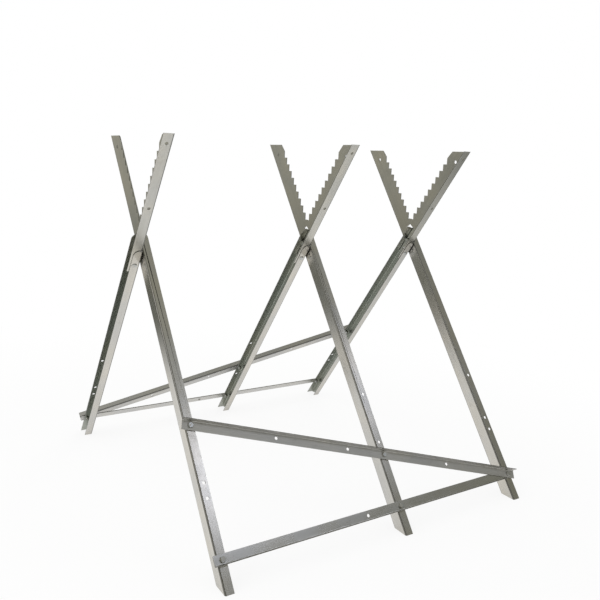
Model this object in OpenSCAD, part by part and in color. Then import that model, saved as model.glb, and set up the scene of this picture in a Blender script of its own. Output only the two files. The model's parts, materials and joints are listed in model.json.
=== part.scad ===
// Folding log saw stand: three scissor frames of bent sheet steel, tied by four angle rails.
// X runs along the log, Y from the front legs to the back legs, Z up from the floor.
// Each frame is two legs that cross at a pivot; each leg carries the toothed arm above it.

/* [Stand] */
// Height of the arm tops above the floor
stand_h = 785; // [740:1:830]
// Share of the height at which the legs cross
pivot_share = 0.703; // [0.68:0.001:0.73]
// Lean of every leg from the vertical, in degrees
lean = 36.6; // [34:0.1:39]
// Distance between the two outer frames
frame_span = 740; // [600:1:860]
// Shift of the middle frame from the centre of the stand
middle_shift = 43; // [36:1:60]

/* [Sheet] */
// Thickness of the sheet in legs, arms and rails
sheet = 1.5; // [1.2:0.1:1.8]
// Inside radius of the bends
bend_r = 1.5; // [1:0.1:2]

/* [Legs] */
// Width of the leg channel across its web
leg_w = 31; // [28:0.5:34]
// Depth of the leg channel, web to flange edge
leg_depth = 19; // [18.5:0.5:24]
// Distance of the pivot from the upper side of a leg
pivot_in = 11; // [10.5:0.5:14]
// Run of the leg past the pivot on its upper side
leg_over_high = 37; // [33:1:40]
// Run of the leg past the pivot on its lower side
leg_over_low = 14; // [11:1:20]
// Radius of the flange corners at the top of a leg
leg_corner_r = 15; // [8:0.5:16]
// Lowest rail hole, measured up the leg from the floor
rail_low = 60; // [50:1:80]
// Highest rail hole, measured up the leg from the floor
rail_high = 308; // [280:1:340]
// Drop of the lock hole and the arm screw below the pivot
lock_drop = 27; // [25:1:32]

/* [Arms] */
// Depth of the arm angle, web to flange edge
arm_depth = 22; // [19:0.5:24]
// Reach of the tooth tips from the outer face of the arm's flange
tip_reach = 52; // [48:0.5:56]
// Height of one tooth
tooth_rise = 16; // [13:0.5:18]
// Drop of the first tooth below the top of the arm
ear_h = 31; // [26:1:36]
// Chamfer of the ear's inner top corner
ear_chamfer = 16; // [8:1:20]
// Length of the tang that sits in the leg below the pivot
tang_len = 44; // [40:1:56]
// Diameter of the ear hole
ear_hole_d = 8; // [5:0.5:10]
// Distance of the ear hole from the outer face of the flange
ear_hole_reach = 23; // [20:1:28]
// Drop of the ear hole below the top of the arm
ear_hole_drop = 25; // [20:1:34]
// Height of the lower flange hole above the pivot
flange_hole_rise = 92; // [70:1:120]
// Drop of the upper flange hole below the top of the arm
flange_hole_drop = 18; // [14:1:26]

/* [Rails] */
// Width of a rail across its web
rail_w = 20; // [18:0.5:22]
// Depth of a rail's outward flange
rail_depth = 14; // [10:0.5:18]
// Run of a rail past its end holes
rail_over = 17; // [14:1:22]
// Distance of the spare holes of the upper rails from the middle
rail_spare = 200; // [150:1:230]

/* [Fasteners] */
// Diameter of the rail and arm screws
screw_d = 6; // [5:0.5:6]
// Width across flats of the rail screws' heads and of all screw nuts
screw_flats = 10; // [8:0.5:10]
// Height of the rail screws' heads
screw_head_h = 4; // [3:0.5:5]
// Diameter of the arm screws' low round heads
arm_head_d = 12; // [10:0.5:13]
// Height of the arm screws' heads
arm_head_h = 2; // [1.5:0.1:3]
// Height of the screw nuts
screw_nut_h = 5; // [4:0.5:6]
// Diameter of the pivot bolts
pivot_d = 8; // [7:0.5:9]
// Width across flats of the pivot heads and nuts
pivot_flats = 13; // [12:0.5:14]
// Height of the pivot heads
pivot_head_h = 5.3; // [4.5:0.1:6]
// Height of the lock nuts on the pivots, collar included
pivot_nut_h = 8; // [7:0.5:9]
// Diameter of the washers between the crossing legs
washer_d = 18; // [16:0.5:22]
// Thickness of all washers
washer_h = 1.5; // [1.2:0.1:1.8]
// Distance of the flange holes from the frame's middle plane
hole_reach = 12; // [11.5:0.5:12.5]

/* [Fits] */
// Play between an arm and the channel that holds it
nest_gap = 0.1; // [0.05:0.05:0.2]
// Room between the top of a leg and the shoulder of its arm
shoulder_gap = 1; // [0.5:0.1:2]
// Play between the two legs of a frame beside their washer
turn_gap = 0.2; // [0.15:0.05:0.3]
// Play round a pivot bolt, on the radius
pivot_gap = 0.06; // [0.03:0.01:0.1]
// Play round a screw, on the radius
screw_gap = 0.3; // [0.2:0.05:0.4]
// Play between a nut and its thread, on the radius
thread_gap = 0.05; // [0.03:0.01:0.08]

/* [Hidden] */
$fn = 48;
// Overrun of every cut past the solid it cuts
cut = 1;
// Half the angle that one side of a hexagon spans, in degrees
hex_half = 30;
// Slope of the chamfer on hexagon corners, in degrees
chamfer_slope = 30;
// Share of a lock nut's height that is its round collar
collar_share = 0.28;
// Share of a lock nut's width across flats that is its collar
collar_w_share = 0.86;
// Share of a low round head's diameter that is its flat crown
crown_share = 0.55;
// Length of thread that stands past a nut
thread_past = 2;

zinc = [0.74, 0.74, 0.71];
bright_zinc = [0.80, 0.81, 0.80];
dull_zinc = [0.60, 0.61, 0.60];

bend_out_r = bend_r + sheet;
pivot_h = stand_h * pivot_share;
half_span = frame_span / 2;
frame_x = [-half_span, middle_shift, half_span];
left = 0;
middle = 1;
right = 2;

// Stack across a frame, from its middle plane outward: leg web, then arm web in the channel
web_x = (washer_h + turn_gap) / 2;
arm_x = web_x + sheet + nest_gap;
stack_x = arm_x + sheet;

// The leaning frame has its origin at the pivot and its z up the leg; its -y side faces up
high_y = -pivot_in;
low_y = leg_w - pivot_in;
foot_corner = up_leg(0, high_y);
nest_y = low_y - sheet - nest_gap;
tang_y = high_y + bend_out_r + nest_gap;
tip_y = nest_y - tip_reach;
shoulder = leg_over_high + shoulder_gap;

// Teeth, as y and z from the pivot of the open stand
tread = tooth_rise * tan(lean);
tooth_z = stand_h - ear_h - pivot_h;
tooth_y = (tip_y + tooth_z * sin(lean)) / cos(lean);
// No tip lies lower than where the tips of both arms would meet, or than the shoulder
root_z = max(-tip_y / sin(lean), shoulder * cos(lean) - tip_y * sin(lean));
tooth_count = floor((tooth_z - root_z) / tooth_rise);

// Rail holes up the leg, for a rail that runs straight from the highest to the lowest hole
rail_slope = (rail_high - rail_low) / frame_span;
rail_angle = atan(rail_slope);
function rail_rise(x) = rail_high - rail_slope * (x + half_span);
leg_holes = [rail_low, rail_rise(middle_shift), rail_rise(-middle_shift), rail_high];

// Height up the leaning axis of a point at a given height above the floor and side of the axis
function up_leg(height, y) = (height - pivot_h + y * sin(lean)) / cos(lean);
// A step in the upright frame, turned into the leaning frame
function turned(dy, dz) = [dy * cos(lean) - dz * sin(lean), dy * sin(lean) + dz * cos(lean)];
function leg_top(y) = leg_over_high - (y - high_y) * (leg_over_high - leg_over_low) / leg_w;

// Places

module leaning() {
    translate([0, 0, pivot_h]) rotate([-lean, 0, 0]) children();
}

// The back half of the stand is the front half turned half round
module behind() {
    rotate([0, 0, 180]) children();
}

module at_frame(i) {
    translate([frame_x[i], 0, 0]) children();
}

// Extrudes a side outline, drawn as y and z, across x
module across(x_from, x_to) {
    translate([x_from, 0, 0]) rotate([90, 0, 90]) linear_extrude(x_to - x_from) children();
}

// Sheet profiles

module rounded_edge(w, h, r) {
    translate([r, -h]) square([w - r, h]);
    translate([0, -h]) square([w, h - r]);
    translate([r, -r]) circle(r);
}

module angle_profile(depth, width) {
    difference() {
        rounded_edge(depth, width, bend_out_r);
        translate([sheet, -sheet]) rounded_edge(depth, width, bend_r);
    }
}

module channel_block(w, h, r) {
    translate([r, -h / 2]) square([w - r, h]);
    translate([0, r - h / 2]) square([w, h - 2 * r]);
    for (side = [-1, 1]) translate([r, side * (h / 2 - r)]) circle(r);
}

module channel_profile() {
    difference() {
        channel_block(leg_depth, leg_w, bend_out_r);
        translate([sheet, 0]) channel_block(leg_depth, leg_w - 2 * sheet, bend_r);
    }
}

// Legs

module leg_outline() {
    high = high_y - cut;
    low = low_y + cut;
    polygon([[high, up_leg(0, high)], [low, up_leg(0, low)], [low, leg_top(low)], [high, leg_top(high)]]);
}

// Cuts the loose corner of a flange to an arc; the flange ends at a given height
module corner_cut(top) {
    translate([web_x + leg_depth - leg_corner_r, 0, top - leg_corner_r]) rotate([90, 0, 0])
        linear_extrude(2 * bend_out_r, center = true) difference() {
            square(leg_corner_r + cut);
            circle(leg_corner_r);
        }
}

module leg() {
    foot = foot_corner - cut;
    crown = leg_over_high + cut;
    leaning() difference() {
        intersection() {
            translate([web_x, (high_y + low_y) / 2, foot]) linear_extrude(crown - foot) channel_profile();
            across(web_x - cut, web_x + leg_depth + cut) leg_outline();
        }
        translate([0, high_y, 0]) corner_cut(leg_over_high);
        translate([0, low_y, 0]) corner_cut(leg_top(low_y - sheet));
        web_hole(pivot_d / 2 + pivot_gap, 0, 0);
        web_hole(screw_d / 2 + screw_gap, 0, -lock_drop);
        for (rise = leg_holes) translate([hole_reach, high_y, foot_corner + rise]) flange_drill();
        translate([hole_reach, low_y, -lock_drop]) flange_drill();
    }
}

module web_hole(r, y, z) {
    translate([0, y, z]) rotate([0, 90, 0]) cylinder(r = r, h = stack_x + cut);
}

module flange_drill() {
    rotate([90, 0, 0]) cylinder(r = screw_d / 2 + screw_gap, h = 4 * sheet, center = true);
}

// Arms

// Stair-cut inner edge, plain from the last tooth to the shoulder, tang below, ear above
// The flange side is left long for the angle to cut
module arm_outline() {
    flange_side = nest_y + cut;
    ear_y = tooth_y + tread;
    ear_z = tooth_z + ear_h;
    ear = [[ear_y + ear_chamfer, ear_z], [ear_y, ear_z - ear_chamfer], [ear_y, tooth_z]];
    teeth = [for (i = [0 : tooth_count - 1], drop = [i, i + 1])
        [tooth_y - i * tread, tooth_z - drop * tooth_rise]];
    last_tip = [tooth_y - tooth_count * tread, tooth_z - tooth_count * tooth_rise];
    polygon(concat(
        [[flange_side, up_leg(stand_h, flange_side)]],
        [for (corner = concat(ear, teeth, [last_tip])) turned(corner[0], corner[1])],
        [[tip_y, shoulder], [tang_y, shoulder], [tang_y, -tang_len], [flange_side, -tang_len]]
    ));
}

module arm() {
    crown = up_leg(stand_h, nest_y) + cut;
    spare_x = arm_x + arm_depth / 2;
    ear_hole_y = nest_y - ear_hole_reach;
    low_hole = up_leg(pivot_h + flange_hole_rise, nest_y);
    high_hole = up_leg(stand_h - flange_hole_drop, nest_y);
    leaning() difference() {
        intersection() {
            translate([arm_x, nest_y, -tang_len - cut]) linear_extrude(crown + tang_len + cut)
                angle_profile(arm_depth, tip_reach + cut);
            across(arm_x - cut, arm_x + arm_depth + cut) arm_outline();
        }
        web_hole(pivot_d / 2 + pivot_gap, 0, 0);
        web_hole(screw_d / 2 + screw_gap, 0, -lock_drop);
        web_hole(ear_hole_d / 2, ear_hole_y, up_leg(stand_h - ear_hole_drop, ear_hole_y));
        translate([hole_reach, nest_y, -lock_drop]) flange_drill();
        for (z = [low_hole, high_hole]) translate([spare_x, nest_y, z]) flange_drill();
    }
}

// Rails

// Places children on a leg's upper flange, a given way along the stand and up the leg
module on_flange(x, rise) {
    leaning() translate([x + hole_reach, high_y, foot_corner + rise]) children();
}

// Angle rail along x, its back on y = 0; the flange stands out along its lower edge
module rail(length) {
    rotate([90, 0, 90]) linear_extrude(length, center = true)
        translate([0, -rail_w / 2]) rotate(180) angle_profile(rail_depth, rail_w);
}

module rail_hole(x) {
    translate([x, 0, 0]) flange_drill();
}

// The lower rail's flange stops where the upper rail crosses it
module lower_rail() {
    sag = rail_w / 2 / cos(rail_angle) - rail_w / 2;
    trim = (bend_out_r + sag + cut) / rail_slope;
    difference() {
        rail(frame_span + 2 * rail_over);
        for (x = [half_span, middle_shift], side = [-1, 1]) rail_hole(side * x);
        translate([half_span - trim, -rail_depth - cut, -rail_w / 2 - cut])
            cube([trim + rail_over + cut, rail_depth + 2 * cut, bend_out_r + cut]);
    }
}

module upper_rail() {
    stretch = 1 / cos(rail_angle);
    difference() {
        mirror([0, 0, 1]) rail(frame_span * stretch + 2 * rail_over);
        for (x = [half_span, rail_spare, middle_shift], side = [-1, 1]) rail_hole(side * x * stretch);
    }
}

module place_lower_rail() {
    on_flange(0, rail_low) lower_rail();
}

module place_upper_rail() {
    on_flange(0, (rail_low + rail_high) / 2) translate([0, -sheet, 0]) rotate([0, rail_angle, 0])
        upper_rail();
}

// Fasteners: seat at z = 0, head or nut above it, shank below

module hexagon(flats, h) {
    intersection() {
        cylinder(d = flats / cos(hex_half), h = h, $fn = 6);
        cylinder(r1 = flats / 2 + h / tan(chamfer_slope), r2 = flats / 2, h = h);
    }
}

module screw(d, flats, head_h, length) {
    hexagon(flats, head_h);
    translate([0, 0, -length]) cylinder(d = d, h = length);
}

module low_screw(d, head_d, head_h, length) {
    cylinder(d1 = head_d, d2 = head_d * crown_share, h = head_h);
    translate([0, 0, -length]) cylinder(d = d, h = length);
}

module nut(d, flats, h) {
    difference() {
        hexagon(flats, h);
        translate([0, 0, -cut]) cylinder(r = d / 2 + thread_gap, h = h + 2 * cut);
    }
}

module lock_nut(d, flats, h) {
    collar_h = h * collar_share;
    nut(d, flats, h - collar_h);
    translate([0, 0, h - collar_h]) difference() {
        cylinder(d = flats * collar_w_share, h = collar_h);
        translate([0, 0, -cut]) cylinder(r = d / 2 + thread_gap, h = collar_h + 2 * cut);
    }
}

module washer(d, hole_r, h) {
    difference() {
        cylinder(d = d, h = h);
        translate([0, 0, -cut]) cylinder(r = hole_r, h = h + 2 * cut);
    }
}

// Outward and inward along the normal of a leg's upper flange
module outward() {
    rotate([90, 0, 0]) children();
}

module inward() {
    rotate([-90, 0, 0]) children();
}

// Screw through the sheets that lie on a leg's upper flange
module rail_screw(x, rise, layers) {
    grip = layers * sheet + sheet;
    on_flange(x, rise) translate([0, -layers * sheet, 0]) outward()
        screw(screw_d, screw_flats, screw_head_h, grip + screw_nut_h + thread_past);
}

// One half's screws: two under the level rail, two under the sloping rail, one through both
module rail_screws(inner) {
    for (x = [-half_span, inner]) rail_screw(x, rail_low, 1);
    for (x = [-half_span, inner]) rail_screw(x, rail_rise(x), 2);
    rail_screw(half_span, rail_low, 2);
}

module rail_nuts(inner) {
    places = [[-half_span, rail_low], [inner, rail_low], [half_span, rail_low],
        [-half_span, rail_high], [inner, rail_rise(inner)]];
    for (place = places) on_flange(place[0], place[1]) translate([0, sheet, 0]) inward()
        nut(screw_d, screw_flats, screw_nut_h);
}

// Packing washers hold the sloping rail off the legs where it doesn't lie on the level rail
module rail_washers(inner) {
    for (x = [-half_span, inner]) on_flange(x, rail_rise(x)) outward()
        washer(screw_flats + 2 * sheet, screw_d / 2 + screw_gap, sheet);
}

// Screw that holds an arm in its leg, head below
module arm_screw() {
    grip = 2 * sheet + nest_gap;
    leaning() translate([hole_reach, low_y, -lock_drop]) inward()
        low_screw(screw_d, arm_head_d, arm_head_h, grip + screw_nut_h + thread_past);
}

module arm_nut() {
    leaning() translate([hole_reach, nest_y - sheet, -lock_drop]) outward()
        nut(screw_d, screw_flats, screw_nut_h);
}

// Sub-parts

module front_leg(i) {
    color(zinc) at_frame(i) leg();
}

module back_leg(i) {
    color(zinc) at_frame(i) behind() leg();
}

module front_arm(i) {
    color(zinc) at_frame(i) behind() arm();
}

module back_arm(i) {
    color(zinc) at_frame(i) arm();
}

module front_upper_rail() {
    color(dull_zinc) place_upper_rail();
}

module front_lower_rail() {
    color(dull_zinc) place_lower_rail();
}

module back_upper_rail() {
    color(dull_zinc) behind() place_upper_rail();
}

module back_lower_rail() {
    color(dull_zinc) behind() place_lower_rail();
}

module pivot_bolts() {
    grip = 2 * stack_x + turn_gap;
    color(bright_zinc) for (x = frame_x)
        translate([x - stack_x - turn_gap, 0, pivot_h]) rotate([0, -90, 0])
            screw(pivot_d, pivot_flats, pivot_head_h, grip + pivot_nut_h + thread_past);
}

module pivot_washers() {
    color(bright_zinc) for (x = frame_x)
        translate([x + web_x, 0, pivot_h]) rotate([0, -90, 0])
            washer(washer_d, pivot_d / 2 + pivot_gap, washer_h);
}

module pivot_nuts() {
    color(bright_zinc) for (x = frame_x)
        translate([x + stack_x, 0, pivot_h]) rotate([0, 90, 0]) lock_nut(pivot_d, pivot_flats, pivot_nut_h);
}

module front_rail_screws() {
    color(bright_zinc) rail_screws(middle_shift);
}

module front_rail_nuts() {
    color(bright_zinc) rail_nuts(middle_shift);
}

module front_rail_washers() {
    color(bright_zinc) rail_washers(middle_shift);
}

module back_rail_screws() {
    color(bright_zinc) behind() rail_screws(-middle_shift);
}

module back_rail_nuts() {
    color(bright_zinc) behind() rail_nuts(-middle_shift);
}

module back_rail_washers() {
    color(bright_zinc) behind() rail_washers(-middle_shift);
}

module front_arm_screws() {
    color(bright_zinc) for (i = [left, middle, right]) at_frame(i) behind() arm_screw();
}

module front_arm_nuts() {
    color(bright_zinc) for (i = [left, middle, right]) at_frame(i) behind() arm_nut();
}

module back_arm_screws() {
    color(bright_zinc) for (i = [left, middle, right]) at_frame(i) arm_screw();
}

module back_arm_nuts() {
    color(bright_zinc) for (i = [left, middle, right]) at_frame(i) arm_nut();
}

front_leg(left);  // front_leg_left
front_leg(middle);  // front_leg_middle
front_leg(right);  // front_leg_right
back_leg(left);  // back_leg_left
back_leg(middle);  // back_leg_middle
back_leg(right);  // back_leg_right
front_arm(left);  // front_arm_left
front_arm(middle);  // front_arm_middle
front_arm(right);  // front_arm_right
back_arm(left);  // back_arm_left
back_arm(middle);  // back_arm_middle
back_arm(right);  // back_arm_right
front_upper_rail();
front_lower_rail();
back_upper_rail();
back_lower_rail();
pivot_bolts();
pivot_washers();
pivot_nuts();
front_rail_screws();
front_rail_nuts();
front_rail_washers();
back_rail_screws();
back_rail_nuts();
back_rail_washers();
front_arm_screws();
front_arm_nuts();
back_arm_screws();
back_arm_nuts();
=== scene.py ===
import json
import math

import bmesh
import bpy
from mathutils import Matrix, Vector

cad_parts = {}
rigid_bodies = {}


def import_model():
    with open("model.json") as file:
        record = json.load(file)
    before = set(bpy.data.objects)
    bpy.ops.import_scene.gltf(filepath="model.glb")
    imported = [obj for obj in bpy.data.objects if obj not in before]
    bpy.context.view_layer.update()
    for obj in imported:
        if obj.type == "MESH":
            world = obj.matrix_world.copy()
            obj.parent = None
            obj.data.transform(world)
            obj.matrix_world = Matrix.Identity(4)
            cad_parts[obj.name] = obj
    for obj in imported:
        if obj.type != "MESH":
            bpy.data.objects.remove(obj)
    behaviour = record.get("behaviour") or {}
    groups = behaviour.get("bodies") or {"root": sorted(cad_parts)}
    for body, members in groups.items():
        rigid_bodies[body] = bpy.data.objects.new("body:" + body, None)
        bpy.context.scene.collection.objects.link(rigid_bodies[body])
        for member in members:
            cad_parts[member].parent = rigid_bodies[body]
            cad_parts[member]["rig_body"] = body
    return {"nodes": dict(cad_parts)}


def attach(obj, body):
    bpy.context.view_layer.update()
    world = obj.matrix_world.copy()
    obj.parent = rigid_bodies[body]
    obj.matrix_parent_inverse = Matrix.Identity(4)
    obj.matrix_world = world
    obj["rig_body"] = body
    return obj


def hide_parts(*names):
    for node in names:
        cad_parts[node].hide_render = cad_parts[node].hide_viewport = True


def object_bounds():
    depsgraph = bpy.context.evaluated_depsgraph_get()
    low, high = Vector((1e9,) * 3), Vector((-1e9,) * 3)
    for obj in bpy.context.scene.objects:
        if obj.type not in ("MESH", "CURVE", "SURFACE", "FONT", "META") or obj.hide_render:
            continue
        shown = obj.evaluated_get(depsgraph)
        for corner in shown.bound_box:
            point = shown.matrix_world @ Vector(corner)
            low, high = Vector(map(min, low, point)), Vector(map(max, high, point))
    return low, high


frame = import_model()
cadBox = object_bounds()
mm = 0.001
acrossStand = Vector((1, 0, 0))
upright = Vector((0, 0, 1))
print("frame loaded:", len(frame["nodes"]), "nodes")


# Shader maths: Value is a socket that can be added to, multiplied and so on
def plug(tree, slot, given):
    if isinstance(given, Value):
        tree.links.new(given.socket, slot)
    else:
        slot.default_value = given


class Value:
    def __init__(self, tree, socket):
        self.tree = tree
        self.socket = socket

    def math(self, operation, first, second):
        node = self.tree.nodes.new("ShaderNodeMath")
        node.operation = operation
        plug(self.tree, node.inputs[0], first)
        plug(self.tree, node.inputs[1], second)
        return Value(self.tree, node.outputs[0])

    def __add__(self, other):
        return self.math("ADD", self, other)

    def __sub__(self, other):
        return self.math("SUBTRACT", self, other)

    def __rsub__(self, other):
        return self.math("SUBTRACT", other, self)

    def __mul__(self, other):
        return self.math("MULTIPLY", self, other)

    __radd__ = __add__
    __rmul__ = __mul__


class Finish:
    def __init__(self, owner):
        owner.use_nodes = True
        self.owner = owner
        self.tree = owner.node_tree

    # Adds one node: its settings first, then its sockets by name or number
    def make(self, kind, settings, sockets, output=0):
        node = self.tree.nodes.new(kind)
        for name, setting in settings.items():
            setattr(node, name, setting)
        for name, given in sockets.items():
            plug(self.tree, node.inputs[name], given)
        return Value(self.tree, node.outputs[output])

    def place(self):
        return self.make("ShaderNodeTexCoord", {}, {}, "Object")

    def scaled(self, where, scale):
        return self.make("ShaderNodeMapping", {}, {"Vector": where, "Scale": scale})

    def noise(self, where, size, detail=3, rough=0.5):
        sockets = {"Vector": where, "Scale": 1 / size, "Detail": detail, "Roughness": rough}
        return self.make("ShaderNodeTexNoise", {}, sockets, "Fac")

    def ease(self, value, low, high):
        sockets = {"Value": value, "From Min": low, "From Max": high}
        return self.make("ShaderNodeMapRange", {"interpolation_type": "SMOOTHSTEP"}, sockets)

    # Noise with its low and high parts flattened, which leaves patches
    def patches(self, where, low, high, **pattern):
        return self.ease(self.noise(where, **pattern), low, high)

    def blend(self, share, first, second):
        sockets = {0: share, 6: first, 7: second}  # the numbers of a Mix node's colour sockets
        return self.make("ShaderNodeMix", {"data_type": "RGBA"}, sockets, 2)

    def dim(self, colour, share):
        return self.make("ShaderNodeVectorMath", {"operation": "SCALE"}, {0: colour, "Scale": share})

    def bump(self, height, depth):
        return self.make("ShaderNodeBump", {}, {"Height": height, "Distance": depth}, "Normal")

    def shade(self, **sockets):
        shader = self.tree.nodes["Principled BSDF"]
        for name, given in sockets.items():
            plug(self.tree, shader.inputs[name.replace("_", " ")], given)
        return self.owner


def rgba(colour):
    return (*colour, 1)


def weighed(layers, weights):
    return sum(weight * layers[name] for name, weight in weights.items())


noiseMiddle = 0.5

# Galvanised sheet: zinc crystals, rolling streaks along the piece, dull clouds, a few stains, and bends
# darkened as painted shade
zinc = {
    "crystal": 8 * mm,
    "wander": 3 * mm,
    "streak": {"size": 1.3 * mm},
    "streakStretch": 0.03,
    "band": {"size": 7 * mm},
    "bandStretch": 0.05,
    "cloud": {"size": 90 * mm, "detail": 4, "low": 0.3, "high": 0.7},
    "stain": {"size": 22 * mm, "detail": 6, "rough": 0.62, "low": 0.56, "high": 0.72},
    "grain": {"size": 0.5 * mm, "detail": 2},
    "tone": {"crystal": 0.03, "streak": 0.14, "band": 0.18, "stain": -0.07},
    "rough": {"crystal": 0.02, "cloud": 0.05, "streak": 0.06, "stain": 0.04, "crease": 0.1},
    "height": {"streak": 0.3, "crystal": 0.01, "grain": 0.06},
    "bumpDepth": 0.02 * mm,
    # how far the bends are darkened: painted shade
    "creasePaintedShade": 0.55,
}


def galvanised(name, along, warm, cool, rough):
    finish = Finish(bpy.data.materials.new(name))
    place = finish.place()
    turn = along.rotation_difference(upright).to_euler()
    lying = finish.make("ShaderNodeMapping", {}, {"Vector": place, "Rotation": turn})
    streaky = finish.scaled(lying, (1, 1, zinc["streakStretch"]))
    banded = finish.scaled(lying, (1, 1, zinc["bandStretch"]))
    drift = finish.make("ShaderNodeTexNoise", {}, {"Vector": lying, "Scale": 1 / zinc["crystal"]}, "Color")
    drift = finish.dim(drift, zinc["wander"])
    bent = finish.make("ShaderNodeVectorMath", {"operation": "ADD"}, {0: lying, 1: drift})
    crystal = finish.make("ShaderNodeTexVoronoi", {}, {"Vector": bent, "Scale": 1 / zinc["crystal"]}, "Color")
    layers = {
        "crystal": crystal - noiseMiddle,
        "streak": finish.noise(streaky, **zinc["streak"]) - noiseMiddle,
        "band": finish.noise(banded, **zinc["band"]) - noiseMiddle,
        "cloud": finish.patches(place, **zinc["cloud"]),
        "stain": finish.patches(lying, **zinc["stain"]),
        "grain": finish.noise(lying, **zinc["grain"]) - noiseMiddle,
        "crease": finish.make("ShaderNodeAttribute", {"attribute_name": "crease"}, {}, "Fac"),
    }
    tint = finish.blend(layers["cloud"], rgba(warm), rgba(cool))
    # Along the bends the crease darkens the zinc as painted shade; the roughness it adds is real
    tone = (1 + weighed(layers, zinc["tone"])) * (1 - zinc["creasePaintedShade"] * layers["crease"])
    return finish.shade(
        Base_Color=finish.dim(tint, tone),
        Metallic=1.0,
        Roughness=rough + weighed(layers, zinc["rough"]),
        Normal=finish.bump(weighed(layers, zinc["height"]), zinc["bumpDepth"]),
    )


# Sheared edges and the walls of holes: bare steel with shear lines and a little rust, darker than bare steel,
# which is partly painted shade along the edges
shear = {
    "line": {"size": 0.25 * mm, "detail": 2},
    "stretch": 0.15,
    "rust": {"size": 9 * mm, "detail": 6, "rough": 0.65, "low": 0.60, "high": 0.74},
    "rustShare": 0.5,
    # steel: darker than bare steel, partly painted shade along the edges
    "steel": (0.16, 0.157, 0.148),
    "rusty": (0.17, 0.11, 0.07),
    "tone": 0.75,
    "lineTone": 0.5,
    "rough": 0.38,
    "rustRough": 0.25,
    "lineRough": 0.1,
    "bumpDepth": 0.04 * mm,
}


def shearedEdge():
    finish = Finish(bpy.data.materials.new("shearedEdge"))
    place = finish.place()
    line = finish.noise(finish.scaled(place, (shear["stretch"], 1, 1)), **shear["line"])
    rust = finish.patches(place, **shear["rust"])
    colour = finish.blend(shear["rustShare"] * rust, rgba(shear["steel"]), rgba(shear["rusty"]))
    return finish.shade(
        Base_Color=finish.dim(colour, shear["tone"] + shear["lineTone"] * line),
        Metallic=1.0,
        Roughness=shear["rough"] + shear["rustRough"] * rust + shear["lineRough"] * line,
        Normal=finish.bump(line, shear["bumpDepth"]),
    )


# Edges rubbed bright by handling
rubbed = {
    "worn": {"size": 14 * mm, "detail": 5, "rough": 0.6, "low": 0.35, "high": 0.65},
    "bright": (0.74, 0.73, 0.70),
    "dull": (0.52, 0.51, 0.49),
    "rough": 0.42,
    "polish": 0.16,
}


def rubbedEdge():
    finish = Finish(bpy.data.materials.new("rubbedEdge"))
    worn = finish.patches(finish.place(), **rubbed["worn"])
    return finish.shade(
        Base_Color=finish.blend(worn, rgba(rubbed["dull"]), rgba(rubbed["bright"])),
        Metallic=1.0,
        Roughness=rubbed["rough"] - rubbed["polish"] * worn,
    )


# Zinc plate on the screws, nuts and washers
plate = {
    "patch": {"size": 5 * mm, "detail": 4, "rough": 0.55, "low": 0.35, "high": 0.65},
    "speck": {"size": 0.35 * mm},
    "blue": (0.55, 0.57, 0.59),
    "straw": (0.56, 0.545, 0.49),
    "tone": 0.88,
    "speckTone": 0.2,
    "rough": 0.24,
    "patchRough": 0.12,
    "speckRough": 0.1,
    "bumpDepth": 0.02 * mm,
}


def zincPlate():
    finish = Finish(bpy.data.materials.new("zincPlate"))
    place = finish.place()
    patch = finish.patches(place, **plate["patch"])
    speck = finish.noise(place, **plate["speck"])
    tint = finish.blend(patch, rgba(plate["blue"]), rgba(plate["straw"]))
    return finish.shade(
        Base_Color=finish.dim(tint, plate["tone"] + plate["speckTone"] * speck),
        Metallic=1.0,
        Roughness=plate["rough"] + plate["patchRough"] * patch + plate["speckRough"] * speck,
        Normal=finish.bump(speck, plate["bumpDepth"]),
    )


# Nylon ring in the lock nuts
nylon = {
    "soil": {"size": 2 * mm, "detail": 5, "rough": 0.6},
    "pale": (0.70, 0.72, 0.72),
    "soiled": (0.50, 0.50, 0.47),
    "rough": 0.35,
    "soilRough": 0.3,
    "bumpDepth": 0.03 * mm,
}


def nylonRing():
    finish = Finish(bpy.data.materials.new("nylonRing"))
    soil = finish.noise(finish.place(), **nylon["soil"])
    return finish.shade(
        Base_Color=finish.blend(soil, rgba(nylon["pale"]), rgba(nylon["soiled"])),
        Roughness=nylon["rough"] + nylon["soilRough"] * soil,
        Normal=finish.bump(soil, nylon["bumpDepth"]),
    )


finishes = {
    "shearedEdge": shearedEdge(),
    "rubbedEdge": rubbedEdge(),
    "zincPlate": zincPlate(),
    "nylonRing": nylonRing(),
}
print("finishes made:", len(finishes))


def wordsToCamel(node):
    first, *rest = node.split("_")
    return first + "".join(word.capitalize() for word in rest)


# Turns a bmesh into a piece that stands for a node and rides on the node's body
def addPiece(bm, node, slot, materials):
    mesh = bpy.data.meshes.new(wordsToCamel(node))
    for face in bm.faces:
        face.smooth = True
    bm.to_mesh(mesh)
    bm.free()
    for material in materials:
        mesh.materials.append(material)
    piece = bpy.data.objects.new(mesh.name, mesh)
    bpy.context.scene.collection.objects.link(piece)
    even = piece.modifiers.new("evenShading", "WEIGHTED_NORMAL")
    even.keep_sharp = True
    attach(piece, frame["nodes"][node]["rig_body"])
    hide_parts(node)


mergeDistance = 0.001 * mm


def mergedNode(node):
    bm = bmesh.new()
    bm.from_mesh(frame["nodes"][node].data)
    bmesh.ops.remove_doubles(bm, verts=bm.verts, dist=mergeDistance)
    return bm


# Sheet pieces: the node's own bends and cuts, with sheared edges rounded and finished apart
sheet = {
    "thick": 1.5 * mm,
    "flat": math.radians(0.5),
    "sharp": math.radians(50),
    "round": 0.22 * mm,
    "roundSteps": 2,
    "keenShare": 0.6,
    "turningShare": 0.9,
    "wallFacet": 10 * mm,
    "bendStrip": 60 * mm,
    "levelRise": 1e-4,
}
skinSlot, shearedSlot, rubbedSlot, shadedHollowSlot = range(4)


def flattenedNode(node):
    bm = mergedNode(node)
    bmesh.ops.dissolve_limit(bm, angle_limit=sheet["flat"], verts=bm.verts, edges=bm.edges)
    return bm


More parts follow.
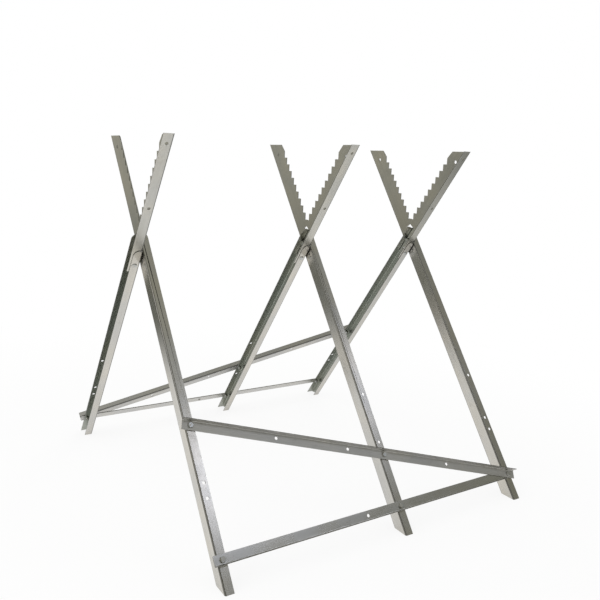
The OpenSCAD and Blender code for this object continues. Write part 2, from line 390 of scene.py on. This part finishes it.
# The way along a piece, upward, or toward +X where it lies level
def longestRun(bm):
    edge = max(bm.edges, key=lambda edge: edge.calc_length())
    run = (edge.verts[1].co - edge.verts[0].co).normalized()
    return run if run.z > 0 or (abs(run.z) < sheet["levelRise"] and run.x > 0) else -run


def isSharp(edge):
    return edge.is_manifold and edge.calc_face_angle() > sheet["sharp"]


# An inside face has some of its own piece in front of it
def isInside(face, bm):
    start = face.verts[0].co
    return max((v.co - start).dot(face.normal) for v in bm.verts) > sheet["thick"] / 2


def isNarrow(face):
    return 2 * face.calc_area() / face.calc_perimeter() < sheet["thick"]  # the width of a long strip


# A sheared face is a strip that is sharp along both sides, or a small facet of a hole's wall
def isSheared(face):
    around = face.calc_perimeter()
    keen = sum(edge.calc_length() for edge in face.edges if isSharp(edge))
    return isNarrow(face) and (keen > sheet["keenShare"] * around or around < sheet["wallFacet"])


# A bend is made of long narrow strips, each at an angle to the next
def isBend(face):
    around = face.calc_perimeter()
    turning = sum(edge.calc_length() for edge in face.edges if edge.calc_face_angle(0) > sheet["flat"])
    return isNarrow(face) and around > sheet["bendStrip"] and turning > sheet["turningShare"] * around


# Gives each face its finish, with inside faces darkened as painted shade where a piece has an inside finish,
# and marks the outer side of the bends
def sortFaces(bm, bend, hasInside):
    for face in bm.faces:
        if isSheared(face):
            face.material_index = shearedSlot
        elif isInside(face, bm):
            face.material_index = shadedHollowSlot if hasInside else skinSlot
        else:
            face.material_index = skinSlot
            face[bend] = isBend(face)


def roundEdges(bm):
    made = bmesh.ops.bevel(
        bm, geom=[edge for edge in bm.edges if isSharp(edge)], offset=sheet["round"], offset_type="OFFSET",
        segments=sheet["roundSteps"], profile=0.5, affect="EDGES", material=-1, clamp_overlap=False,
    )
    for face in made["faces"]:
        face.material_index = rubbedSlot


# A crease is full across its bend and fades out where the flats begin
def creaseBends(bm, bend, crease):
    for v in bm.verts:
        plain = [face for face in v.link_faces if face.material_index in (skinSlot, shadedHollowSlot)]
        onBend = any(face[bend] for face in v.link_faces)
        v[crease] = float(onBend and all(face[bend] for face in plain))


def sheetPiece(node, slot, warm, cool, rough, inside=None):
    bm = flattenedNode(node)
    bend = bm.faces.layers.int.new("bend")
    crease = bm.verts.layers.float.new("crease")
    along = longestRun(bm)
    sortFaces(bm, bend, hasInside=bool(inside))
    roundEdges(bm)
    creaseBends(bm, bend, crease)
    bm.faces.layers.int.remove(bend)
    skin = galvanised(wordsToCamel(node) + "Zinc", along, warm, cool, rough)
    materials = [skin, finishes["shearedEdge"], finishes["rubbedEdge"]]
    # The inside finish is darker, greener zinc: painted shade in the channels' hollows
    if inside:
        materials.append(galvanised(wordsToCamel(node) + "Inside", along, **inside))
    addPiece(bm, node, slot, materials)


legs = {
    "slot": "leg_sheet",
    "warm": (0.62, 0.595, 0.54),
    "cool": (0.585, 0.58, 0.56),
    "rough": 0.24,
    # inside: darker, greener zinc for the channels' hollows, painted shade; its higher roughness is real
    "inside": {"warm": (0.465, 0.475, 0.425), "cool": (0.43, 0.455, 0.42), "rough": 0.33},
}
arms = {"slot": "arm_sheet", "warm": (0.61, 0.59, 0.53), "cool": (0.57, 0.57, 0.545), "rough": 0.30}
rails = {"slot": "rail_sheet", "warm": (0.61, 0.60, 0.57), "cool": (0.58, 0.58, 0.575)}
railRough = {"upper": 0.50, "lower": 0.25}

for half in ("front", "back"):
    for side in ("left", "middle", "right"):
        sheetPiece(f"{half}_leg_{side}", **legs)
        sheetPiece(f"{half}_arm_{side}", **arms)
    for level, rough in railRough.items():
        sheetPiece(f"{half}_{level}_rail", rough=rough, **rails)
print("sheet pieces made")


# Fasteners are stacks of rings, built with the seat at z = 0 and the head or nut above it; a ring
# is a radius, a height and, for a hexagon, how steeply its corners drop, as a cone cuts them
ring = {"sides": 48, "hexSides": 6, "merge": 0.001 * mm}


def placeRing(verts, radius, z, hexSlope=None):
    step = 2 * math.pi / ring["hexSides"]
    for v in verts:
        reach, drop = radius, 0.0
        if hexSlope is not None:
            reach /= math.cos(math.atan2(v.co.y, v.co.x) % step - step / 2)
            drop = (reach - radius) * hexSlope
        v.co.xy = v.co.xy.normalized() * reach
        v.co.z = z - drop


# Extrudes each ring to the next; a closed stack ends on its first ring, an open one is capped
def stackRings(bm, rings, closed):
    first = bmesh.ops.create_circle(bm, segments=ring["sides"], radius=1)["verts"]
    placeRing(first, *rings[0])
    edges = list(dict.fromkeys(edge for v in first for edge in v.link_edges))
    for place in rings[1:] + (rings[:1] if closed else []):
        grown = bmesh.ops.extrude_edge_only(bm, edges=edges)["geom"]
        last = [part for part in grown if isinstance(part, bmesh.types.BMVert)]
        edges = [part for part in grown if isinstance(part, bmesh.types.BMEdge) and part.is_boundary]
        placeRing(last, *place)
    if closed:
        bmesh.ops.remove_doubles(bm, verts=first + last, dist=ring["merge"])
    else:
        bmesh.ops.holes_fill(bm, edges=[edge for edge in bm.edges if edge.is_boundary], sides=0)


hexagon = {
    "seatShare": 0.47,
    "seatRise": 0.3 * mm,
    "crownShare": 0.465,
    "coneSlope": math.tan(math.radians(30)),
}


def hexRings(flats, height):
    seat = flats * hexagon["seatShare"]
    rise, slope = hexagon["seatRise"], hexagon["coneSlope"]
    foot = (flats / 2, rise, 0.0)
    brow = (flats / 2, height - rise * slope, slope)
    crown = (flats * hexagon["crownShare"], height)
    return [(seat, 0), (seat, rise), foot, brow, crown]


thread = {"rootShare": 0.86, "ridgeShare": 0.9, "sinkShare": 0.96, "stepsPerTurn": 24, "tipShare": 0.8}


# One ridge of triangular section, wound from the tip up the shank
def woundRidge(bm, diameter, pitch, low, high):
    root = diameter / 2 * thread["rootShare"] * thread["sinkShare"]
    ridge = pitch * thread["ridgeShare"]
    corners = ((root, low), (diameter / 2, low + ridge / 2), (root, low + ridge))
    section = bm.faces.new([bm.verts.new((x, 0, z)) for x, z in corners])
    turns = math.floor((high - low) / pitch) - 1
    bmesh.ops.spin(
        bm, geom=[section, *section.edges, *section.verts], axis=upright, cent=(0, 0, 0),
        dvec=upright * (pitch / thread["stepsPerTurn"]), angle=2 * math.pi * turns,
        steps=turns * thread["stepsPerTurn"], use_duplicate=False,
    )


def shankRings(diameter, pitch, length):
    core = diameter / 2 * thread["rootShare"]
    return [(core * thread["tipShare"], -length), (core, -length + pitch), (core, 0)]


def screwShape(diameter, flats, head, pitch, length):
    bm = bmesh.new()
    stackRings(bm, shankRings(diameter, pitch, length) + hexRings(flats, head), closed=False)
    woundRidge(bm, diameter, pitch, -length + pitch / 2, 0)
    return bm


lowHead = {"steps": 6, "brimShare": 0.12, "capShare": 0.16}


# A low round head: an upright brim, then an arc up to a small flat cap
def lowHeadRings(wide, height):
    brim = height * lowHead["brimShare"]
    rings = [(wide / 2, 0)]
    for step in range(lowHead["steps"] + 1):
        turn = math.pi / 2 * step / lowHead["steps"]
        reach = lowHead["capShare"] + (1 - lowHead["capShare"]) * math.cos(turn)
        rings.append((wide / 2 * reach, brim + (height - brim) * math.sin(turn)))
    return rings


def lowScrewShape(diameter, wide, head, pitch, length):
    bm = bmesh.new()
    stackRings(bm, shankRings(diameter, pitch, length) + lowHeadRings(wide, head), closed=False)
    woundRidge(bm, diameter, pitch, -length + pitch / 2, 0)
    return bm


nut = {"mouthShare": 1.14, "mouth": 0.5 * mm}


def nutShape(diameter, flats, height):
    bm = bmesh.new()
    bore = diameter / 2
    mouth = bore * nut["mouthShare"]
    inside = [(mouth, height), (bore, height - nut["mouth"]), (bore, nut["mouth"]), (mouth, 0)]
    stackRings(bm, hexRings(flats, height) + inside, closed=True)
    return bm


lockNut = {
    "collarShare": 0.3,
    "collarWide": 0.445,
    "lipWide": 0.385,
    "pocketWide": 0.36,
    "lipRise": 0.25 * mm,
    "gripDrop": 0.5 * mm,
    "shoulderDrop": 0.75 * mm,
    "nylonSlot": 1,
}


def lockNutShape(diameter, flats, height):
    bm = bmesh.new()
    bore = diameter / 2
    ledge = height - height * lockNut["collarShare"]
    wide, lip, pocket = (flats * lockNut[key] for key in ("collarWide", "lipWide", "pocketWide"))
    rise = lockNut["lipRise"]
    shoulder = height - lockNut["shoulderDrop"]
    shell = hexRings(flats, ledge) + [
        (wide, ledge + rise), (wide, shoulder), ((wide + lip) / 2, height - rise), (lip, height),
        (pocket, height - rise), (pocket, ledge), (bore, ledge), (bore, 0),
    ]
    stackRings(bm, shell, closed=True)
    steel = set(bm.faces)
    grip = bore * thread["sinkShare"]
    insert = [(pocket, ledge), (pocket, shoulder), (grip, height - lockNut["gripDrop"]), (grip, ledge)]
    stackRings(bm, insert, closed=True)
    for face in set(bm.faces) - steel:
        face.material_index = lockNut["nylonSlot"]
    return bm


washer = {"edge": 0.35 * mm, "roundShare": 1 / 3}


def washerShape(hole, wide, height):
    bm = bmesh.new()
    edge = washer["edge"]
    rounding = edge * washer["roundShare"]
    rings = [
        (hole, 0), (wide, 0), (wide, height - edge), (wide - rounding, height - rounding),
        (wide - edge, height), (hole + edge, height), (hole, height - edge),
    ]
    stackRings(bm, rings, closed=True)
    return bm


# The separate solids of a node, each as its points
def solidsOf(node):
    bm = mergedNode(node)
    seen = set()
    for start in bm.verts:
        if start in seen:
            continue
        seen.add(start)
        todo = [start]
        points = []
        while todo:
            v = todo.pop()
            points.append(v.co.copy())
            near = {edge.other_vert(v) for edge in v.link_edges} - seen
            seen |= near
            todo += near
        yield points
    bm.free()


# Where a solid sits: its middle line, and how far it reaches along an axis
def middleAndReach(points, axis):
    side = axis.orthogonal().normalized()
    other = axis.cross(side)
    spans = []
    for way in (side, other, axis):
        reach = [point.dot(way) for point in points]
        spans.append((min(reach), max(reach)))
    middle = side * (sum(spans[0]) / 2) + other * (sum(spans[1]) / 2)
    return middle, spans[2]


# Copies a shape onto each solid of a node; outward points from the seat to the head
def fastenerPiece(node, outward, seatAt, shapeFor, materials):
    whole = bmesh.new()
    for points in solidsOf(node):
        middle, (low, high) = middleAndReach(points, outward)
        shape = shapeFor(high - low)
        bmesh.ops.recalc_face_normals(shape, faces=shape.faces)
        seat = Matrix.Translation(middle + outward * seatAt(low, high))
        turn = upright.rotation_difference(outward).to_matrix().to_4x4()
        bmesh.ops.transform(shape, matrix=seat @ turn, verts=shape.verts)
        mesh = bpy.data.meshes.new("part")
        shape.to_mesh(mesh)
        shape.free()
        whole.from_mesh(mesh)
        bpy.data.meshes.remove(mesh)
    addPiece(whole, node, "fastener", materials)


screws = {"diameter": 6 * mm, "flats": 10 * mm, "head": 4 * mm, "pitch": 1 * mm}
lowScrews = {"diameter": 6 * mm, "wide": 12 * mm, "head": 2 * mm, "pitch": 1 * mm}
pivots = {"diameter": 8 * mm, "flats": 13 * mm, "head": 5.3 * mm, "pitch": 1.25 * mm}


def addScrews(node, outward, shapeFor, sizes):
    fastenerPiece(
        node, outward, lambda low, high: high - sizes["head"],
        lambda length: shapeFor(length=length - sizes["head"], **sizes), [finishes["zincPlate"]],
    )


def addNuts(node, outward, sizes):
    fastenerPiece(
        node, outward, lambda low, high: low,
        lambda height: nutShape(sizes["diameter"], sizes["flats"], height), [finishes["zincPlate"]],
    )


def addLockNuts(node, outward, sizes):
    fastenerPiece(
        node, outward, lambda low, high: low,
        lambda height: lockNutShape(sizes["diameter"], sizes["flats"], height),
        [finishes["zincPlate"], finishes["nylonRing"]],
    )


def addWashers(node, outward, hole, wide):
    fastenerPiece(
        node, outward, lambda low, high: low,
        lambda height: washerShape(hole, wide, height), [finishes["zincPlate"]],
    )


# Outward from a leg's upper flange, square to the leg and upward
def flangeNormal(node):
    bm = flattenedNode(node)
    normal = longestRun(bm).cross(acrossStand)
    bm.free()
    return normal if normal.z > 0 else -normal


# Radii of the washers
railWasher = {"hole": 3.3 * mm, "wide": 6.5 * mm}
pivotWasher = {"hole": 4.06 * mm, "wide": 9 * mm}

for half, other in (("front", "back"), ("back", "front")):
    outward = flangeNormal(f"{half}_leg_left")
    addScrews(f"{half}_rail_screws", outward, screwShape, screws)
    addNuts(f"{half}_rail_nuts", -outward, screws)
    addWashers(f"{half}_rail_washers", outward, **railWasher)
    addScrews(f"{other}_arm_screws", -outward, lowScrewShape, lowScrews)
    addNuts(f"{other}_arm_nuts", outward, screws)
addScrews("pivot_bolts", -acrossStand, screwShape, pivots)
addWashers("pivot_washers", -acrossStand, **pivotWasher)
addLockNuts("pivot_nuts", acrossStand, pivots)
print("fasteners made")


# Studio: a pale floor that the camera sees as white, in a dim olive-grey room with soft lamps
studio = {
    "floor": (0.86, 0.86, 0.85),
    "floorRough": 0.9,
    "floorReach": 8.0,
    "floorWhite": 0.86,
    "room": (0.222, 0.221, 0.182),
    "worldLight": (0.8, 0.8, 0.8),
    "white": (1, 1, 1),
}
# What metal mirrors of the floor: a white sheet under the stand, then a dark floor
mirrored = {
    "sheet": (1.0, 0.99, 0.97),
    "dark": (0.13, 0.135, 0.115),
    "middle": (-0.3, -0.15, 0),
    "ends": (0.65, 1.8),
    "sheetShare": 0.6,
}


# The rays that show the floor and the world as white, and those that metal mirrors
def whiteRays(finish):
    kinds = ("Is Camera Ray", "Is Transmission Ray", "Is Glossy Ray")
    camera, through, glossy = (finish.make("ShaderNodeLightPath", {}, {}, kind) for kind in kinds)
    return camera + through, glossy


def floorFinish():
    finish = Finish(bpy.data.materials.new("paleFloor"))
    seen, glossy = whiteRays(finish)
    apart = {"operation": "DISTANCE"}
    away = finish.make("ShaderNodeVectorMath", apart, {0: finish.place(), 1: mirrored["middle"]}, "Value")
    far = finish.ease(away, *mirrored["ends"])
    pale = finish.shade(Base_Color=rgba(studio["floor"]), Roughness=studio["floorRough"])
    below = finish.blend(far, rgba(mirrored["sheet"]), rgba(mirrored["dark"]))
    glow = finish.blend(glossy, rgba(studio["white"]), below)
    white = finish.make("ShaderNodeEmission", {}, {"Color": glow, "Strength": 1.0})
    seenShare = studio["floorWhite"] + (1 - studio["floorWhite"]) * far
    glossyShare = mirrored["sheetShare"] + (1 - mirrored["sheetShare"]) * far
    lit = Value(finish.tree, finish.tree.nodes["Principled BSDF"].outputs[0])
    sockets = {0: seen * seenShare + glossy * glossyShare, 1: lit, 2: white}
    mixed = finish.make("ShaderNodeMixShader", {}, sockets)
    plug(finish.tree, finish.tree.nodes["Material Output"].inputs["Surface"], mixed)
    pale.cycles.emission_sampling = "NONE"  # the glow is only seen, the lamps do the lighting
    return pale


def addFloor():
    bm = bmesh.new()
    bmesh.ops.create_grid(bm, x_segments=1, y_segments=1, size=studio["floorReach"])
    mesh = bpy.data.meshes.new("floor")
    bm.to_mesh(mesh)
    bm.free()
    mesh.materials.append(floorFinish())
    floor = bpy.data.objects.new("floor", mesh)
    bpy.context.scene.collection.objects.link(floor)


def lightWorld():
    world = bpy.data.worlds.new("studio")
    bpy.context.scene.world = world
    finish = Finish(world)
    seen, glossy = whiteRays(finish)
    colour = finish.blend(glossy, rgba(studio["worldLight"]), rgba(studio["room"]))
    colour = finish.blend(seen, colour, rgba(studio["white"]))
    plug(finish.tree, finish.tree.nodes["Background"].inputs["Color"], colour)


# Soft lamps: the way to each in degrees, from +Y toward +X and up, its distance, size and brightness
lamps = {
    "frontSoftbox": {
        "azimuth": 149, "elevation": 36.9, "away": 4.0, "wide": 1.9, "high": 0.64, "glow": 2.4,
        "colour": (0.82, 0.85, 1.0),
    },
    "leftSoftbox": {
        "azimuth": 262, "elevation": 32, "away": 3.0, "wide": 2.6, "high": 2.2, "glow": 1.3,
        "colour": (1.0, 0.99, 0.97),
    },
    "rightSoftbox": {
        "azimuth": 56, "elevation": 36, "away": 3.5, "wide": 1.8, "high": 2.0, "glow": 1.0,
        "colour": (1.0, 0.99, 0.97),
    },
    "backSoftbox": {
        "azimuth": 329, "elevation": 42, "away": 4.0, "wide": 1.9, "high": 0.9, "glow": 1.6,
        "colour": (0.86, 0.91, 1.0),
    },
    "backWall": {
        "azimuth": 325, "elevation": 6, "away": 4.5, "wide": 4.0, "high": 1.8, "glow": 0.22,
        "colour": (1.0, 0.96, 0.87),
    },
    "ceiling": {
        "azimuth": 140, "elevation": 72, "away": 4.0, "wide": 4.0, "high": 3.5, "glow": 0.12,
        "colour": (1.0, 0.99, 0.92),
    },
}


# The glow is what a mirror would show of the lamp, with white as 1
def addLamp(name, lamp, aim):
    data = bpy.data.lights.new(name, "AREA")
    data.shape = "RECTANGLE"
    data.size = lamp["wide"]
    data.size_y = lamp["high"]
    data.energy = math.pi * lamp["wide"] * lamp["high"] * lamp["glow"]
    data.color = lamp["colour"]
    azimuth, elevation = math.radians(lamp["azimuth"]), math.radians(lamp["elevation"])
    level = math.cos(elevation)
    way = Vector((math.sin(azimuth) * level, math.cos(azimuth) * level, math.sin(elevation)))
    turned = way.to_track_quat("Z", "Y").to_matrix().to_4x4()
    light = bpy.data.objects.new(name, data)
    light.matrix_world = Matrix.Translation(aim + way * lamp["away"]) @ turned
    light.visible_camera = False
    bpy.context.scene.collection.objects.link(light)


# The photograph's camera: pixels are of its 600 by 600 frame
photoCamera = {
    "eye": (-0.8517, -1.3699, 0.7445),
    "yaw": 32.85,
    "pitch": -11.58,
    "roll": 2.46,
    "focalPixels": 682.2,
    "framePixels": 600,
    "centreDrop": 2,
    "sensor": 36,
}


def addCamera():
    yaw, pitch, roll = (math.radians(photoCamera[turn]) for turn in ("yaw", "pitch", "roll"))
    look = Vector((math.sin(yaw) * math.cos(pitch), math.cos(yaw) * math.cos(pitch), math.sin(pitch)))
    level = Vector((math.cos(yaw), -math.sin(yaw), 0))
    rise = level.cross(look)
    right = level * math.cos(roll) + rise * math.sin(roll)
    top = rise * math.cos(roll) - level * math.sin(roll)
    data = bpy.data.cameras.new("camera")
    data.sensor_width = photoCamera["sensor"]
    data.lens = photoCamera["sensor"] * photoCamera["focalPixels"] / photoCamera["framePixels"]
    data.shift_y = photoCamera["centreDrop"] / photoCamera["framePixels"]
    camera = bpy.data.objects.new("camera", data)
    turned = Matrix((right, top, -look)).transposed().to_4x4()
    camera.matrix_world = Matrix.Translation(photoCamera["eye"]) @ turned
    bpy.context.scene.collection.objects.link(camera)
    bpy.context.scene.camera = camera


addFloor()
lightWorld()
for name, lamp in lamps.items():
    addLamp(name, lamp, (cadBox[0] + cadBox[1]) / 2)
addCamera()
bpy.context.scene.view_settings.view_transform = "Standard"
print("studio and camera set")
